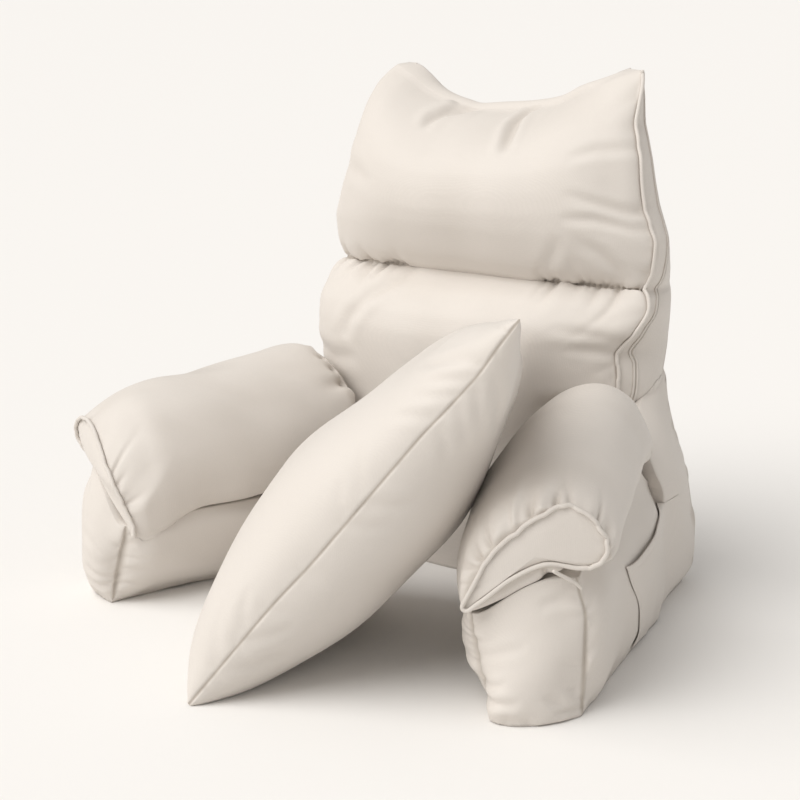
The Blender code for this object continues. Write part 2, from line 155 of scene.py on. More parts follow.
# Welted edge of a roll's front end, in the order of ROLL_SECTION: place across, height, left roll's height
ROLL_LOOP = (
    (-0.024, 0.127, 0.127), (-0.013, 0.158, 0.151), (0.001, 0.185, 0.173), (0.019, 0.208, 0.194),
    (0.053, 0.236, 0.219), (0.088, 0.253, 0.237), (0.118, 0.24, 0.236), (0.135, 0.211, 0.217),
    (0.129, 0.188, 0.196), (0.108, 0.184, 0.184), (0.062, 0.186, 0.182), (0.014, 0.158, 0.155),
)
LEFT_LOOP_SHIFT = (0.024, 0.024, -0.022)  # how far the left roll's tip lies from the mirrored right one
WELT_KINK = 0.003  # how deep a roll's welt is drawn in
# Places where it is drawn in: share of the way round, width, share of the depth
WELT_KINKS = (
    (0.285, 0.01, 1.0), (0.362, 0.01, 1.0), (0.53, 0.012, 0.7),
)

# How the front panel's left edge turns round its corner: share of the half width, place across, way back
LEFT_TURN = (
    (0.0, 0.0, 0.0), (0.6, 0.6, 0.0), (0.8, 0.815, 0.0),
    (0.9, 0.94, 0.002), (0.96, 0.99, 0.01), (1.0, 0.965, 0.03),
)
# Top edge between its corners: place across, dip below the corners
TOP_EDGE = (
    (-1.0, 0.0), (-0.93, 0.004), (-0.85, 0.013), (-0.68, 0.036), (-0.53, 0.049),
    (-0.41, 0.056), (-0.27, 0.062), (-0.11, 0.06), (0.1, 0.057), (0.25, 0.053),
    (0.4, 0.046), (0.56, 0.03), (0.75, 0.016), (0.9, 0.005), (1.0, 0.0),
)
# Soft creases of the front panel: depth, width and line of (across, height)
BACK_CREASES = (
    (0.0078, 0.009, ((-0.052, 0.716), (-0.082, 0.704), (-0.1, 0.695), (-0.11, 0.68), (-0.113, 0.664))),
    (0.0074, 0.008, ((0.064, 0.714), (0.048, 0.7), (0.046, 0.686), (0.058, 0.66), (0.066, 0.63))),
    (0.0024, 0.006, ((0.262, 0.606), (0.238, 0.608), (0.205, 0.612), (0.165, 0.606))),
    (0.0022, 0.006, ((0.262, 0.524), (0.236, 0.527), (0.206, 0.54), (0.16, 0.558))),
    (0.0026, 0.006, ((0.262, 0.5), (0.232, 0.508), (0.195, 0.52), (0.15, 0.522))),
    (0.0024, 0.008, ((0.232, 0.424), (0.215, 0.447), (0.19, 0.474), (0.16, 0.494))),
    (0.002, 0.008, ((0.112, 0.424), (0.118, 0.448), (0.132, 0.474), (0.14, 0.5))),
    (0.005, 0.01, ((-0.095, 0.424), (-0.116, 0.413), (-0.127, 0.4), (-0.145, 0.384), (-0.16, 0.352),
                     (-0.168, 0.32))),
    (0.002, 0.006, ((0.262, 0.356), (0.232, 0.361), (0.2, 0.367), (0.15, 0.373))),
    (0.0018, 0.006, ((0.262, 0.338), (0.225, 0.346), (0.19, 0.349))),
    (0.0018, 0.01, ((-0.262, 0.56), (-0.22, 0.566), (-0.17, 0.556))),
    (0.0022, 0.01, ((-0.24, 0.3), (-0.2, 0.29), (-0.15, 0.296))),
    (0.0025, 0.01, ((0.24, 0.262), (0.2, 0.27), (0.15, 0.262))),
)
# Folds of an arm block's front: depth, width and line of (across from the inner seam, height)
BLOCK_CREASES = (
    (0.0013, 0.005, ((-0.004, 0.052), (0.022, 0.048), (0.044, 0.05))),
    (0.0018, 0.005, ((-0.004, 0.036), (0.024, 0.028), (0.06, 0.026))),
    (0.001, 0.006, ((0.0, 0.084), (0.03, 0.088), (0.06, 0.084))),
    (0.0016, 0.004, ((0.106, 0.012), (0.092, 0.018), (0.08, 0.032))),
    (0.0022, 0.003, ((0.106, 0.008), (0.096, 0.01), (0.086, 0.01))),
    (0.0018, 0.003, ((0.104, 0.012), (0.101, 0.024), (0.099, 0.034))),
    (0.0014, 0.005, ((0.102, 0.134), (0.085, 0.126), (0.07, 0.124))),
)
# Front of an arm block: height share, way in of its inner seam, crown of the right and of the left one
BLOCK_FRONT = (
    (0.0, 0.005, 0.046, 0.012), (0.12, 0.003, 0.052, 0.026), (0.3, -0.002, 0.046, 0.038),
    (0.5, -0.008, 0.034, 0.04), (0.7, -0.015, 0.024, 0.034), (0.85, -0.021, 0.02, 0.026),
    (1.0, -0.024, 0.018, 0.016),
)
# Loose cushion: depth, width and line of (up its near edge, away from the near seam), on both faces
CUSHION_CREASES = (
    (0.0022, 0.008, ((0.545, 0.002), (0.53, 0.03), (0.505, 0.06), (0.49, 0.1))),
    (0.0016, 0.006, ((0.52, 0.002), (0.5, 0.022), (0.48, 0.044))),
    (0.0014, 0.006, ((0.49, 0.002), (0.472, 0.025), (0.45, 0.05))),
    (0.0014, 0.006, ((0.455, 0.002), (0.44, 0.025), (0.42, 0.045))),
    (0.0016, 0.007, ((0.33, 0.002), (0.345, 0.026), (0.368, 0.05))),
    (0.0014, 0.006, ((0.3, 0.002), (0.308, 0.022), (0.325, 0.042))),
    (0.0012, 0.006, ((0.11, 0.002), (0.13, 0.022), (0.155, 0.036))),
    (0.0016, 0.008, ((0.06, 0.002), (0.085, 0.03), (0.12, 0.055))),
    (0.0024, 0.012, ((0.6, 0.12), (0.56, 0.13), (0.51, 0.12))),
    (0.003, 0.012, ((0.6, 0.26), (0.55, 0.25), (0.5, 0.27))),
    (0.003, 0.012, ((0.44, 0.44), (0.42, 0.39), (0.43, 0.34))),
    (0.003, 0.012, ((0.2, 0.44), (0.22, 0.39), (0.21, 0.35))),
)
# How far the cushion's near seam is pushed to the right: share of its length, way
SEAM_BOW = (
    (0.0, -0.0015), (0.24, -0.0025), (0.4, 0.0008), (0.69, 0.0008),
    (0.79, 0.0036), (0.86, 0.0048), (0.94, 0.0014), (1.0, 0.0),
)
# Gathers that run out from a seam: how many, width, reach, height, seed of their draws
GATHERS = {
    "above": (38, 0.005, 0.02, 0.0052, 3),
    "below": (38, 0.005, 0.022, 0.0056, 4),
    "stitches": (64, 0.0024, 0.007, 0.003, 13),
    "panel_right": (30, 0.007, 0.022, 0.0026, 5),
    "panel_left": (30, 0.007, 0.024, 0.0022, 6),
    "behind": (24, 0.008, 0.026, 0.003, 7),
    "gusset": (30, 0.0075, 0.02, 0.0018, 9),
    "wedge": (18, 0.009, 0.03, 0.0035, 21),
    "wedge_top": (26, 0.009, 0.026, 0.003, 23),
    "wedge_foot": (22, 0.01, 0.024, 0.003, 24),
    "wedge_flank": (18, 0.009, 0.022, 0.0025, 26),
    "block": (12, 0.005, 0.014, 0.0018, 40),
    "block_foot": (9, 0.006, 0.014, 0.002, 43),
    "flank": (12, 0.006, 0.022, 0.0026, 46),
    "flank_foot": (18, 0.009, 0.018, 0.0022, 49),
    "roll_right": (26, 0.004, 0.024, 0.0078, 63),
    "roll_left": (26, 0.004, 0.016, 0.004, 57),
    "roll_rear_right": (24, 0.0045, 0.022, 0.0018, 64),
    "roll_rear_left": (24, 0.0045, 0.022, 0.008, 58),
    "roll_lid": (16, 0.007, 0.014, 0.0014, 62),
    "cushion_edge": (30, 0.0045, 0.018, 0.0014, 80),
    "cushion_foot": (22, 0.0045, 0.018, 0.0014, 90),
}
# Pocket: height, y of its front seam
POCKET_FRONT = (
    (0.0, 0.258), (0.011, 0.253), (0.036, 0.242), (0.064, 0.223),
    (0.092, 0.203), (0.118, 0.18), (0.145, 0.162),
)
# Pocket: y, height of its mouth, how far it stands open
POCKET_MOUTH = (
    (0.162, 0.146, 0.0), (0.182, 0.144, 0.0022), (0.212, 0.143, 0.0032), (0.25, 0.145, 0.003),
    (0.288, 0.149, 0.002), (0.318, 0.154, 0.0006), (0.345, 0.157, 0.0), (0.425, 0.16, 0.0),
)
STITCH = 0.009  # between the stitches of the channel
POCKET_REAR = 0.425  # y of the pocket's rear edge
POCKET_LONG = 0.26  # grid lengths of the pocket
POCKET_TALL = 0.15
POCKET_SPAN = 0.25  # from its front seam to its rear edge
# Tie, from the roll's welt to the top corner of the block
TIE_ROUTE = (
    (0.374, 0.016, 0.18), (0.379, 0.024, 0.174), (0.385, 0.034, 0.167),
    (0.389, 0.043, 0.16), (0.392, 0.048, 0.154),
)
# Zip placket on the right gusset: height, share of the way to the rear
PLACKET = (
    (0.23, 0.26), (0.325, 0.26), (0.345, 0.18), (0.4, 0.22), (0.45, 0.3),
    (0.5, 0.38), (0.56, 0.46), (0.64, 0.5), (0.69, 0.5),
)
# Section of the placket: share of its width, share of its thickness, painted shade where it is drawn in
PLACKET_SECTION = (
    (-0.5, -0.3, 0.9), (-0.5, 0.6, 0.5), (-0.38, 1.0, 0.0), (-0.14, 1.0, 0.0), (-0.06, 0.1, 1.0),
    (0.06, 0.1, 1.0), (0.14, 1.0, 0.0), (0.38, 1.0, 0.0), (0.5, 0.6, 0.5), (0.5, -0.3, 0.9),
)
PLACKET_WIDTH = 0.0085
PLACKET_THICK = 0.0016

# Camera, at the photograph's angle
CAMERA_PLACE = (1.287, -1.7393, 0.808)
CAMERA_TURN = 35.9  # degrees from looking along +y
CAMERA_PITCH = 13.56  # degrees down
CAMERA_LENS = 76.5  # mm
CAMERA_SENSOR = 36  # mm
CAMERA_CLIP = 500.0

# Light: a wide soft key from the front left, and even light all round
KEY_HEADING = (0.36, 0.60, -0.82)
KEY_SPREAD = 1.0
KEY_STRENGTH = 2.4
KEY_COLOUR = (1.0, 0.985, 0.965)
WORLD_COLOUR = (1.0, 0.98, 0.955, 1)
WORLD_STRENGTH = 0.54
FLOOR_COLOUR = (0.86, 0.845, 0.825, 1)
FLOOR_REACH = 300.0
FLOOR_GAP = 0.0004  # between the floor and what stands on it


# Shapes

def curve(rows, column, value):
    """Smooth curve through one column of a table, against its first column."""
    xs = np.array([row[0] for row in rows])
    ys = np.array([row[column] for row in rows])
    step = np.diff(xs)
    rise = np.diff(ys) / step
    slope = np.zeros(len(xs))
    both = rise[:-1] * rise[1:] > 0
    mean = 2 * rise[:-1] * rise[1:] / np.where(both, rise[:-1] + rise[1:], 1)
    slope[1:-1] = np.where(both, mean, 0)
    slope[0] = rise[0]
    slope[-1] = rise[-1]
    i = np.clip(np.searchsorted(xs, value) - 1, 0, len(step) - 1)
    t = (value - xs[i]) / step[i]
    start = ys[i] * (1 + 2 * t) * (1 - t) ** 2 + slope[i] * step[i] * t * (1 - t) ** 2
    end = ys[i + 1] * t * t * (3 - 2 * t) - slope[i + 1] * step[i] * t * t * (1 - t)
    return start + end


def ease(low, high, value):
    t = np.clip((value - low) / (high - low), 0, 1)
    return t * t * (3 - 2 * t)


def lerp(a, b, t):
    return a + (b - a) * t


def bell(value, middle, width):
    return np.exp(-((value - middle) / width) ** 2)


def edge_rows(count, half, power=1.5):
    """Parameters from -1 to 1, crowded to both ends, with fine rows beside the seams there."""
    t = np.linspace(-1, 1, count + 1)
    rows = set(np.round(np.sin(t * np.pi / 2) * (power - 1) + t * (2 - power), 9))
    for off in (0.0006, 0.0013, 0.0022, 0.0034):
        rows |= {round(1 - off / half, 9), round(off / half - 1, 9)}
    rows = sorted(rows)
    kept = [rows[0]]
    for row in rows[1:]:
        if row - kept[-1] > 0.00045 / half:
            kept.append(row)
    kept[-1] = 1.0
    return np.array(kept)


def crowded(low, high, step, near=(), fine=0.0015, reach=0.02):
    """Parameters from low to high, a step apart, and closer together near some of them."""
    out = [low]
    while out[-1] < high - 1e-9:
        here = out[-1]
        away = min([abs(here - n) for n in near], default=1.0)
        out.append(here + lerp(fine, step, ease(0, reach, away)))
    out = np.array(out)
    return low + (out - low) * (high - low) / (out[-1] - low)


def box_grid(us, vs, ws):
    """Quads of the skin of a block of cells, and the u, v and w of each of its points."""
    us, vs, ws = np.array(us), np.array(vs), np.array(ws)
    sizes = (len(us), len(vs), len(ws))
    stride = np.array([sizes[1] * sizes[2], sizes[2], 1])
    quads = []
    for axis in range(3):
        a, b = [n for n in range(3) if n != axis]
        i, j = np.meshgrid(np.arange(sizes[a] - 1), np.arange(sizes[b] - 1), indexing="ij")
        for end in (0, sizes[axis] - 1):
            corners = []
            outward = (end > 0) == (axis != 1)
            for di, dj in ((0, 0), (1, 0), (1, 1), (0, 1)) if outward else ((0, 0), (0, 1), (1, 1), (1, 0)):
                key = np.zeros((i.size, 3), int)
                key[:, axis] = end
                key[:, a] = i.ravel() + di
                key[:, b] = j.ravel() + dj
                corners.append(key @ stride)
            quads.append(np.stack(corners, axis=1))
    used, faces = np.unique(np.concatenate(quads), return_inverse=True)
    faces = faces.reshape(-1, 4)
    i, rest = np.divmod(used, stride[0])
    j, k = np.divmod(rest, stride[1])
    return faces, us[i], vs[j], ws[k]


def skin_normals(points, faces):
    """Outward normals at the points of a closed skin."""
    a, b, c, d = (points[faces[:, n]] for n in range(4))
    face = np.cross(c - a, d - b)
    volume = np.einsum("ij,ij->", face, (a + b + c + d) / 4 - points.mean(axis=0))
    normals = np.zeros_like(points)
    for n in range(4):
        np.add.at(normals, faces[:, n], face * np.sign(volume))
    return normals / np.maximum(np.linalg.norm(normals, axis=1), 1e-12)[:, None]


def add_object(name, data):
    obj = bpy.data.objects.new(name, data)
    bpy.context.scene.collection.objects.link(obj)
    return obj


def add_mesh(name, points, faces, mat, drawn=None):
    """A closed mesh. Its last argument is painted shade: how dark each point is coloured where it is drawn
    into a seam or crease, for the cloth's colour.
    """
    mesh = bpy.data.meshes.new(name)
    mesh.from_pydata(points.tolist(), [], faces.tolist() if hasattr(faces, "tolist") else faces)
    if drawn is not None:
        # Painted shade: darkness painted into seams and crease valleys, kept as a point attribute
        spots = mesh.attributes.new("drawn", "FLOAT", "POINT")
        spots.data.foreach_set("value", np.clip(drawn, 0, 1).astype(np.float32))
    work = bmesh.new()
    work.from_mesh(mesh)
    bmesh.ops.remove_doubles(work, verts=work.verts, dist=0.00002)
    bmesh.ops.recalc_face_normals(work, faces=work.faces)
    work.to_mesh(mesh)
    work.free()
    mesh.shade_smooth()
    mesh.materials.append(mat)
    return add_object(name, mesh)


def tree_of(obj):
    return BVHTree.FromObject(obj, bpy.context.evaluated_depsgraph_get())


def is_inside(tree, point):
    """True where a ray from the point leaves the closed skin an odd number of times."""
    start = Vector(point)
    heading = Vector((0.31, -0.17, 0.93)).normalized()
    hits = 0
    while hits < 12:
        spot, _, _, _ = tree.ray_cast(start, heading)
        if spot is None:
            break
        hits += 1
        start = spot + heading * 1e-5
    return hits % 2 == 1


def clear_of(points, obj, gap):
    """Push points that lie in another piece, or too near it, out to a gap from its skin."""
    tree = tree_of(obj)
    corners = np.array([v.co for v in obj.data.vertices])
    near = np.all((points > corners.min(axis=0) - gap) & (points < corners.max(axis=0) + gap), axis=1)
    for n in np.nonzero(near)[0]:
        point = Vector(points[n])
        for _ in range(3):
            spot, normal, _, distance = tree.find_nearest(point)
            if distance >= gap and not is_inside(tree, point):
                break
            point = spot + normal * gap * 1.05
        points[n] = point
    return points


def settle(points, others=()):
    """A skin's points in the row frame, clear of other pieces and of the floor."""
    points = points + ORIGIN_SHIFT
    for other in others:
        points = clear_of(points, other, TOUCH)
    points[:, 2] = np.maximum(points[:, 2], 0)
    return points


def seat(path, tree, distance):
    """Move a path's points to stand a distance off a piece's skin."""
    seated = []
    for point in path:
        spot = Vector(point)
        for _ in range(4):
            near, normal, _, _ = tree.find_nearest(spot)
            away = spot - near
            if away.dot(normal) < 0 or away.length < 1e-5:
                away = normal
            spot = near + away.normalized() * distance
        seated.append(np.array(spot))
    return np.array(seated)


def ring_quads(rings, sides):
    """Quads between closed rings of points that follow each other."""
    n, s = np.meshgrid(np.arange(rings - 1), np.arange(sides), indexing="ij")
    t = (s + 1) % sides
    quads = np.stack([n * sides + s, n * sides + t, (n + 1) * sides + t, (n + 1) * sides + s], axis=-1)
    return quads.reshape(-1, 4)


def ring_cap(ring, sides, tip):
    """Triangles from a ring to one point in its middle."""
    return [[ring * sides + s, ring * sides + (s + 1) % sides, tip] for s in range(sides)]


def tube(path, radius, sides=12):
    """Points and faces of a round cord along a path, with rounded ends."""
    path = np.array(path)
    last = len(path) - 1
    points = []
    across = Vector((0, 0, 1))
    for n, centre in enumerate(path):
        along = Vector(path[min(n + 1, last)] - path[max(n - 1, 0)]).normalized()
        across = (across - along * across.dot(along)).normalized()
        side = along.cross(across)
        for s in range(sides):
            angle = 2 * np.pi * s / sides
            points.append(Vector(centre) + (across * np.cos(angle) + side * np.sin(angle)) * radius)
    faces = ring_quads(len(path), sides).tolist()
    for end, inward in ((0, 1), (last, -1)):
        heading = (Vector(path[end + inward]) - Vector(path[end])).normalized()
        points.append(Vector(path[end]) - heading * radius * 0.6)
        faces += ring_cap(end, sides, len(points) - 1)
    return np.array(points), faces


def smooth_path(path, step):
    """Evenly spaced points on a smooth line through a path."""
    path = np.array(path, float)
    run = np.concatenate([[0], np.cumsum(np.linalg.norm(np.diff(path, axis=0), axis=1))])
    rows = np.column_stack([run, path])
    places = np.linspace(0, run[-1], max(int(run[-1] / step), 2) + 1)
    return np.column_stack([curve(rows, n + 1, places) for n in range(path.shape[1])])


# Folds

def crease_field(s, t, creases):
    """Sum of soft creases, each a depth, a width and a line of (s, t), with slight ridges beside it."""
    out = np.zeros_like(s)
    for depth, width, line in creases:
        line = np.array(line, float)
        best = np.full(s.shape, 1e9)
        place = np.zeros_like(s)
        lengths = np.linalg.norm(np.diff(line, axis=0), axis=1)
        run = 0.0
        for (a, b), size in zip(zip(line[:-1], line[1:]), lengths):
            d = b - a
            k = np.clip(((s - a[0]) * d[0] + (t - a[1]) * d[1]) / size ** 2, 0, 1)
            distance = np.hypot(s - a[0] - k * d[0], t - a[1] - k * d[1])
            nearer = distance < best
            best = np.where(nearer, distance, best)
            place = np.where(nearer, (run + k * size) / lengths.sum(), place)
            run += size
        taper = np.maximum(1 - abs(2 * place - 1) ** 2.2, 0) ** 0.7
        out += depth * taper * (0.4 * bell(best, 2.1 * width, width) - bell(best, 0, width))
    return out


def puckers(kind, along, off, low, high, turn=0, lean=0.5):
    """Gathers that run out from a seam: along it and off it, in metres. Valleys are narrow, hills broad."""
    count, width, reach, height, seed = GATHERS[kind]
    draw = np.random.RandomState(seed + turn)
    places = low + (high - low) * (np.arange(count) + draw.uniform(0.15, 0.85, count)) / count
    out = np.zeros_like(along)
    for place in places:
        wide = width * draw.uniform(0.6, 1.4)
        far = reach * draw.uniform(0.5, 1.5)
        slant = lean * draw.uniform(-1, 1)
        size = height * draw.uniform(0.4, 1.2)
        valley = draw.rand() < 0.6
        fan = wide * (0.7 if valley else 1.5) * (1 + off / far * 1.2)
        fold = (-size if valley else 0.7 * size) * bell(along, place + slant * off, fan)
        out += fold * np.exp(-(off / far) ** 1.5)
    return out * ease(0, 0.003, off)


def swell(points, size, seed, count=9):
    """Gentle unevenness of the filling, from -1 to 1."""
    draw = np.random.RandomState(seed)
    out = np.zeros(len(points))
    for _ in range(count):
        way = draw.normal(size=3)
        way *= draw.uniform(0.6, 1.6) / size / np.linalg.norm(way)
        out += np.sin(points @ way * 2 * np.pi + draw.uniform(0, 6.283))
    return out / math.sqrt(count) / 1.4


# Cloth material

def node(tree, kind, settings=(), **inputs):
    """A shader node with its settings and inputs; an input that is a socket is linked."""
    made = tree.nodes.new("ShaderNode" + kind)
    for key, value in dict(settings).items():
        setattr(made, key, value)
    for key, value in inputs.items():
        socket = made.inputs[int(key[2:]) if key.startswith("in") else key.replace("_", " ")]
        if isinstance(value, bpy.types.NodeSocket):
            tree.links.new(value, socket)
        else:
            socket.default_value = value
    return made


def cloth(name, colour, roughness=0.52, weave=0.0011, grain=0.35, crumple=0.0010):
    """Fine coated cloth: threads both ways, soft crumpling, uneven colour, and painted shade that darkens
    it in seams and crease valleys.
    """
    mat = bpy.data.materials.new(name)
    mat.use_nodes = True
    tree = mat.node_tree
    shader = tree.nodes["Principled BSDF"]
    place = node(tree, "TexCoord").outputs["Object"]
    bands = []
    for way, share in (("X", 0.6), ("Y", 0.6), ("Z", 1.0)):
        wave = node(tree, "TexWave", {"wave_type": "BANDS", "bands_direction": way}, Vector=place,
                    Scale=0.314 / weave, Distortion=1.2, Detail=1.0, Detail_Scale=1.5)
        bands.append(node(tree, "Math", {"operation": "MULTIPLY"}, in0=wave.outputs["Fac"],
                          in1=share).outputs[0])
    threads = node(tree, "Math", {"operation": "ADD"}, in0=bands[0], in1=bands[1]).outputs[0]
    threads = node(tree, "Math", {"operation": "ADD"}, in0=threads, in1=bands[2]).outputs[0]
    slub = node(tree, "TexNoise", Vector=place, Scale=420.0, Detail=3.0, Roughness=0.6).outputs["Fac"]
    fine = node(tree, "Math", {"operation": "MULTIPLY"}, in0=threads, in1=slub).outputs[0]
    soft = node(tree, "TexNoise", Vector=place, Scale=26.0, Detail=4.0, Roughness=0.55,
                Distortion=0.6).outputs["Fac"]
    low = node(tree, "Bump", Strength=0.35, Distance=crumple, Height=soft)
    top = node(tree, "Bump", Strength=grain, Distance=0.0004, Height=fine, Normal=low.outputs["Normal"])
    tree.links.new(top.outputs["Normal"], shader.inputs["Normal"])
    broad = node(tree, "TexNoise", Vector=place, Scale=5.0, Detail=2.0, Roughness=0.5).outputs["Fac"]
    pale = tuple(min(c * 1.015, 1) for c in colour[:3]) + (1,)
    deep = (colour[0] * 0.975, colour[1] * 0.970, colour[2] * 0.960, 1)
    tone = node(tree, "Mix", {"data_type": "RGBA"}, Factor=broad, in6=pale, in7=deep)
    # Painted shade: where the mesh's attribute marks seams and crease valleys, the colour turns darker
    drawn = node(tree, "Attribute", {"attribute_name": "drawn"}).outputs["Fac"]
    shade = node(tree, "Mix", {"data_type": "RGBA"}, Factor=drawn, in6=tone.outputs[2],
                 in7=(colour[0] * 0.72, colour[1] * 0.69, colour[2] * 0.65, 1))
    thread_tone = node(tree, "MapRange", Value=fine, To_Min=0.975, To_Max=1.02)
    tint = node(tree, "Mix", {"data_type": "RGBA", "blend_type": "MULTIPLY"}, Factor=1.0,
                in6=shade.outputs[2], in7=thread_tone.outputs[0])
    tree.links.new(tint.outputs[2], shader.inputs["Base Color"])
    rough = node(tree, "MapRange", Value=slub, To_Min=roughness - 0.05, To_Max=roughness + 0.07)
    tree.links.new(rough.outputs[0], shader.inputs["Roughness"])
    for key, value in (("Specular IOR Level", 0.34), ("Sheen Weight", 0.10), ("Sheen Roughness", 0.40),
                       ("Sheen Tint", (1.0, 0.98, 0.95, 1))):
        shader.inputs[key].default_value = value
    return mat


IVORY = (0.695, 0.650, 0.604, 1.0)
IVORY_WELT = (0.712, 0.667, 0.620, 1.0)
BODY_CLOTH = cloth("ivory_cloth", IVORY)
WELT_CLOTH = cloth("ivory_welt", IVORY_WELT, roughness=0.56, weave=0.0008, grain=0.5, crumple=0.0004)


def finish_piece(obj, nodes=()):
    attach(obj, "root")
    if nodes:
        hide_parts(*nodes)
    return obj


# Back

def panel_point(u, height):
    """Front panel's points: u from -1 to 1 across, height of their edge row."""
    across = np.where(u < 0, -curve(LEFT_TURN, 1, -u), u)
    x = lerp(curve(PANEL, 1, height), curve(PANEL, 2, height), (across + 1) / 2)
    y = curve(PANEL, 3, height) + np.where(u < 0, curve(LEFT_TURN, 2, -u), 0) * ease(0.0, 0.1, height)
    share = np.maximum((height - CHANNEL) / (TOP - CHANNEL), 0)
    z = height - curve(TOP_EDGE, 1, u) * share ** 1.4
    return np.column_stack([x, y, z])


def back_point(u, height, w):
    """Points of the back cushion: w 0 on the front panel, 1 on the rear panel."""
    edge = panel_point(u, height)
    front = edge.copy()
    front[:, 1] -= curve(PANEL, 4, height) * np.maximum(1 - abs(u) ** 2.4, 0) ** 0.62
    rear = edge.copy()
    rear[:, 1] = curve(GUSSET, 1, height) + curve(GUSSET, 3, height) * (1 - abs(u) ** 2.2)
    half = curve(GUSSET, 4, height)
    rear[:, 0] = np.sin(u * np.pi / 2) * 0.12 * half + 0.88 * u * half
    point = lerp(front, rear, w[:, None])
    bow = 4 * w * (1 - w)
    point[:, 0] += np.where(abs(u) == 1, u * curve(GUSSET, 2, height) * bow, 0)
    point[:, 2] += np.where(height == TOP, 0.010 * bow * (1 - u * u), 0)
    return point


def push_out(points, faces, amount):
    """Move a skin's points along its normals."""
    return points + skin_normals(points, faces) * amount[:, None]


def make_back():
    us = edge_rows(168, BACK_HALF)
    heights = crowded(0.0, TOP, 0.0044, near=(CHANNEL,), fine=0.0010, reach=0.022)
    faces, u, height, w = box_grid(us, heights, np.linspace(0, 1, 21))
    points = back_point(u, height, w)
    front, rear = w == 0, w == 1
    gusset = (abs(u) == 1) & ~front & ~rear
    across, side_off, off = u * BACK_HALF, (1 - abs(u)) * BACK_HALF, abs(height - CHANNEL)

    # The channel is drawn in near its ends and stands nearly level in its middle
    ends = ease(0.40, 0.56, -u) + ease(0.34, 0.48, u)
    gathers = np.where(height > CHANNEL, puckers("above", across, off, -BACK_HALF, BACK_HALF),
                       puckers("below", across, off, -BACK_HALF, BACK_HALF))
    gathers += puckers("stitches", across, off, -BACK_HALF, BACK_HALF, lean=0.2)
    sides = np.where(u > 0, puckers("panel_right", height, side_off, 0.03, 0.70),
                     puckers("panel_left", height, side_off, 0.03, 0.70))
    stitches = 0.65 + 0.35 * np.cos(2 * np.pi * across / STITCH)
    push = crease_field(across, height, BACK_CREASES) * ease(0, 0.02, side_off + 0.012)
    push += ends * gathers - 0.0062 * ends * stitches * bell(off, 0, 0.0022)
    push += (1 - ends) * 0.0065 * bell(off, 0, 0.010)
    push += sides + 0.0022 * swell(points, 0.16, 11) * ease(0, 0.04, side_off)
    behind = np.where(u > 0, puckers("behind", height, side_off, 0.30, 0.70),
                      puckers("behind", height, side_off, 0.30, 0.70, turn=1))
    behind += 0.0030 * swell(points, 0.14, 12)
    puffs = puckers("gusset", height, w * 0.08, 0.03, 0.70)
    push = np.where(front, push, np.where(rear, behind, np.where(gusset, puffs, 0)))

    points = settle(push_out(points, faces, push))
    # Painted shade along the channel's gathered ends, in crease valleys and beside the side seams
    drawn = front * (ends * bell(off, 0, 0.0013) + 0.30 * np.clip(-push / 0.008, 0, 1))
    drawn = drawn + 0.55 * bell(side_off, 0, 0.0012) * (front | rear)
    obj = add_mesh("back_cover", points, faces, BODY_CLOTH, drawn)
    return finish_piece(obj, ["back_cushion"])


def make_back_welt(name, side, back, cad):
    outward = np.array([0.8 * side, -0.6, 0.0]) * WELT * 2
    heights = np.linspace(TOP if side > 0 else TOP - 0.014, 0.030, 260)
    path = panel_point(np.full(heights.shape, float(side)), heights) + outward + ORIGIN_SHIFT
    points, faces = tube(seat(path, tree_of(back), WELT + WELT_GAP), WELT)
    obj = add_mesh(name, points, faces, WELT_CLOTH)
    return finish_piece(obj, [cad])


def ribbon(path, tree, width, thick):
    """Two narrow folds side by side, which lie on a skin along a path."""
    points = []
    for n, centre in enumerate(path):
        spot, normal, _, _ = tree.find_nearest(Vector(centre))
        along = Vector(path[min(n + 1, len(path) - 1)] - path[max(n - 1, 0)]).normalized()
        across = along.cross(normal).normalized()
        points += [spot + across * a * width + normal * b * thick for a, b, _ in PLACKET_SECTION]
    sides = len(PLACKET_SECTION)
    faces = ring_quads(len(path), sides).tolist()
    for ring in (0, len(path) - 1):
        faces.append(list(range(ring * sides, (ring + 1) * sides)))
    # The section's third column is painted shade across the folds
    return np.array(points), faces, np.tile([row[2] for row in PLACKET_SECTION], len(path))


def make_placket(back):
    """Covered zip down the right gusset."""
    heights = np.linspace(0.690, 0.240, 240)
    path = back_point(np.ones(heights.shape), heights, curve(PLACKET, 1, heights)) + ORIGIN_SHIFT
    # Painted shade in the placket's middle fold and along its edges
    points, faces, drawn = ribbon(path, tree_of(back), PLACKET_WIDTH, PLACKET_THICK)
    obj = add_mesh("placket_right", points, faces, WELT_CLOTH, drawn)
    return finish_piece(obj)


# Wedge

def wedge_point(u, v, w):
    """Wedge behind and beside the lower back: v up from the floor, w to the rear."""
    height = WAIST * v
    side, middle, beside_y, beside_x = (curve(WEDGE_ROWS, column, height) for column in (1, 2, 3, 4))
    half = WEDGE_HALF + 0.004 * np.sin(np.pi * v) - WEDGE_TAPER * ease(0.45, 1.0, v)
    half = half + WEDGE_FLARE * (1 - w) * (1 - ease(0.5, 0.8, v)) - 0.012 * (1 - w) * ease(0.62, 0.82, v)
    half = half - 0.020 * ease(0.86, 1.0, v)
    rear = lerp(middle, side, abs(u) ** 4)
    front = lerp(0.478, 0.502, v)
    front = lerp(front, beside_y, ease(beside_x, beside_x + 0.020, abs(u) * half))
    y = lerp(np.minimum(front, rear - 0.004), rear, w)
    tuck = (1 - ease(0, 0.10, v)) ** 2
    y = y - 0.012 * tuck * w
    x = u * (half - 0.010 * tuck)
    x += np.where(abs(u) == 1, u * 0.010 * np.sin(np.pi * w) * np.sin(np.pi * v), 0)
    y += np.where(w == 1, 0.010 * (1 - abs(u) ** 3) * np.sin(np.pi * v), 0)
    return np.column_stack([x, y, height])


